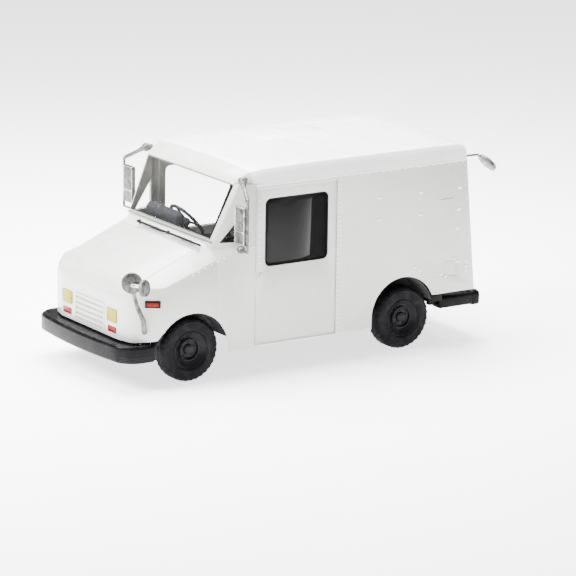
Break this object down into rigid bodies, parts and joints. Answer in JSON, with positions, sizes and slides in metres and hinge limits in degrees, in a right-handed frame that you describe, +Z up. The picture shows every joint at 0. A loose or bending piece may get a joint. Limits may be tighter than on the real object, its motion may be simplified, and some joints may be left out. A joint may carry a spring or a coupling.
{
  "type": "mail delivery truck",
  "caption": "Right-hand-drive postal van with sliding side doors, rear roll-up door, sloping hood, wrap-around bumper, outside mirrors and steerable wheels.",
  "frame": {"origin": "on the ground under the middle of the vehicle's overall box", "axes": "+Z up, -Y towards the front of the truck, +X towards its left side"},
  "size_m": [2.4064, 4.4999, 2.13],
  "materials": {
    "white_body": "white gloss paint, slightly warm",
    "black_bumper": "gloss black moulding",
    "frame_black": "black underbody coating",
    "dark_trim": "dark grey moulded trim",
    "tyre_rubber": "black tyre rubber",
    "wheel_black": "satin black wheel paint",
    "mirror_silver": "satin silver",
    "engine_alloy": "cast alloy",
    "clear_glass": "clear",
    "headlamp_lens": "yellow lens",
    "red_lens": "red lens",
    "seat_fabric": "dark woven fabric"
  },
  "bodies": {
    "root": {"chassis_frame": "frame_black", "cab_floor": "dark_trim", "cargo_floor": "dark_trim", "bulkhead": "dark_trim", "body_side_left": "white_body", "body_side_right": "white_body", "roof": "white_body", "rear_frame": "white_body", "cab_front": "white_body", "front_fenders": "white_body", "windshield": "clear_glass", "quarter_window_left": "clear_glass", "quarter_window_right": "clear_glass", "headlight_left": "headlamp_lens", "headlight_right": "headlamp_lens", "tail_light_left": "red_lens", "tail_light_right": "red_lens", "grille": "white_body", "front_bumper": "black_bumper", "rear_bumper": "black_bumper", "rear_axle": "engine_alloy", "engine": "engine_alloy", "exhaust": "engine_alloy", "fuel_tank": "frame_black", "dashboard": "dark_trim", "seat_base": "frame_black", "mirror_arm_left": "mirror_silver", "mirror_arm_right": "mirror_silver", "cross_view_mirror": "mirror_silver", "rear_mirror": "mirror_silver"},
    "hood": {"hood": "white_body"},
    "knuckle_left": {"steering_knuckle_left": "engine_alloy"},
    "wheel_front_left": {"tyre_front_left": "tyre_rubber", "rim_front_left": "wheel_black"},
    "wheel_rear_left": {"tyre_rear_left": "tyre_rubber", "rim_rear_left": "wheel_black"},
    "sliding_door_left": {"door_left": "white_body", "door_glass_left": "clear_glass"},
    "mirror_left": {"mirror_head_left": "mirror_silver"},
    "knuckle_right": {"steering_knuckle_right": "engine_alloy"},
    "wheel_front_right": {"tyre_front_right": "tyre_rubber", "rim_front_right": "wheel_black"},
    "wheel_rear_right": {"tyre_rear_right": "tyre_rubber", "rim_rear_right": "wheel_black"},
    "sliding_door_right": {"door_right": "white_body", "door_glass_right": "clear_glass"},
    "mirror_right": {"mirror_head_right": "mirror_silver"},
    "steering_wheel": {"steering_wheel": "black_bumper"},
    "tie_rod": {"tie_rod": "engine_alloy"},
    "propshaft": {"propshaft": "engine_alloy"},
    "rear_section_1": {"rear_door_section_1": "white_body"},
    "rear_section_2": {"rear_door_section_2": "white_body"},
    "rear_section_3": {"rear_door_section_3": "white_body"},
    "rear_section_4": {"rear_door_section_4": "white_body"},
    "wiper_left": {"wiper_left": "black_bumper"},
    "wiper_right": {"wiper_right": "black_bumper"},
    "fuel_flap": {"fuel_flap": "white_body"},
    "seat": {"seat_cushion": "seat_fabric", "seat_back": "seat_fabric"},
    "brake_pedal": {"brake_pedal": "frame_black"}
  },
  "joints": [
    {"name": "hood_hinge", "type": "hinge", "parent": "root", "child": "hood", "pos_m": [0, -1.288, 1.32222], "axis": [-1, 0, 0], "range_deg": [0, 60]},
    {"name": "steer_left", "type": "hinge", "parent": "root", "child": "knuckle_left", "pos_m": [0.65, -1.4, 0.325], "axis": [0, 0, 1], "range_deg": [-22, 22]},
    {"name": "spin_front_left", "type": "hinge", "parent": "knuckle_left", "child": "wheel_front_left", "pos_m": [0.7515, -1.4, 0.325], "axis": [1, 0, 0], "continuous": true},
    {"name": "spin_rear_left", "type": "hinge", "parent": "root", "child": "wheel_rear_left", "pos_m": [0.7515, 1.153, 0.325], "axis": [1, 0, 0], "continuous": true},
    {"name": "door_slide_left", "type": "slide", "parent": "root", "child": "sliding_door_left", "axis": [0, 1, 0], "range_m": [0, 0.6]},
    {"name": "mirror_swivel_left", "type": "hinge", "parent": "root", "child": "mirror_left", "pos_m": [1.19, -0.97, 1.595], "axis": [0, 0, 1], "range_deg": [-20, 20]},
    {"name": "steer_right", "type": "hinge", "parent": "root", "child": "knuckle_right", "pos_m": [-0.65, -1.4, 0.325], "axis": [0, 0, 1], "range_deg": [-22, 22]},
    {"name": "spin_front_right", "type": "hinge", "parent": "knuckle_right", "child": "wheel_front_right", "pos_m": [-0.7515, -1.4, 0.325], "axis": [1, 0, 0], "continuous": true},
    {"name": "spin_rear_right", "type": "hinge", "parent": "root", "child": "wheel_rear_right", "pos_m": [-0.7515, 1.153, 0.325], "axis": [1, 0, 0], "continuous": true},
    {"name": "door_slide_right", "type": "slide", "parent": "root", "child": "sliding_door_right", "axis": [0, 1, 0], "range_m": [0, 0.6]},
    {"name": "mirror_swivel_right", "type": "hinge", "parent": "root", "child": "mirror_right", "pos_m": [-1.19, -0.97, 1.595], "axis": [0, 0, 1], "range_deg": [-20, 20]},
    {"name": "steering_wheel_turn", "type": "hinge", "parent": "root", "child": "steering_wheel", "pos_m": [-0.22, -0.8, 1.36], "axis": [0, 0.77, 0.638], "range_deg": [-360, 360]},
    {"name": "tie_rod_shift", "type": "slide", "parent": "root", "child": "tie_rod", "axis": [1, 0, 0], "range_m": [-0.052, 0.052]},
    {"name": "propshaft_spin", "type": "hinge", "parent": "root", "child": "propshaft", "pos_m": [0, -0.655, 0.39], "axis": [0, 0.9993, -0.0379], "continuous": true},
    {"name": "rear_door_lift_1", "type": "slide", "parent": "root", "child": "rear_section_1", "axis": [0, -0.0905, 0.9959], "range_m": [0, 1.08]},
    {"name": "rear_door_lift_2", "type": "slide", "parent": "root", "child": "rear_section_2", "axis": [0, -0.0905, 0.9959], "range_m": [0, 0.81]},
    {"name": "rear_door_lift_3", "type": "slide", "parent": "root", "child": "rear_section_3", "axis": [0, -0.0905, 0.9959], "range_m": [0, 0.54]},
    {"name": "rear_door_lift_4", "type": "slide", "parent": "root", "child": "rear_section_4", "axis": [0, -0.0905, 0.9959], "range_m": [0, 0.27]},
    {"name": "wiper_sweep_left", "type": "hinge", "parent": "root", "child": "wiper_left", "pos_m": [0.14, -1.24, 1.35562], "axis": [0, -0.8706, 0.4919], "range_deg": [0, 80]},
    {"name": "wiper_sweep_right", "type": "hinge", "parent": "root", "child": "wiper_right", "pos_m": [-0.42, -1.24, 1.35562], "axis": [0, -0.8706, 0.4919], "range_deg": [0, 80]},
    {"name": "fuel_flap_hinge", "type": "hinge", "parent": "root", "child": "fuel_flap", "pos_m": [0.936, 1.585, 0.81], "axis": [0, 0, -1], "range_deg": [0, 110]},
    {"name": "seat_slide", "type": "slide", "parent": "root", "child": "seat", "axis": [0, 1, 0], "range_m": [-0.1, 0.1]},
    {"name": "brake_pedal_swing", "type": "hinge", "parent": "root", "child": "brake_pedal", "pos_m": [-0.16, -1.1, 0.86], "axis": [-1, 0, 0], "range_deg": [0, 16], "stiffness_Nm_per_rad": 60, "springref_deg": -5.73}
  ],
  "couplings": [
    {"joint": "steer_right", "follows": "steer_left", "ratio": 1},
    {"joint": "steering_wheel_turn", "follows": "steer_left", "ratio": 16},
    {"joint": "tie_rod_shift", "follows": "steer_left", "m_per_rad": -0.13},
    {"joint": "propshaft_spin", "follows": "spin_rear_left", "ratio": 3.7},
    {"joint": "rear_door_lift_2", "follows": "rear_door_lift_1", "ratio": 0.75},
    {"joint": "rear_door_lift_3", "follows": "rear_door_lift_1", "ratio": 0.5},
    {"joint": "rear_door_lift_4", "follows": "rear_door_lift_1", "ratio": 0.25},
    {"joint": "wiper_sweep_right", "follows": "wiper_sweep_left", "ratio": 1}
  ]
}
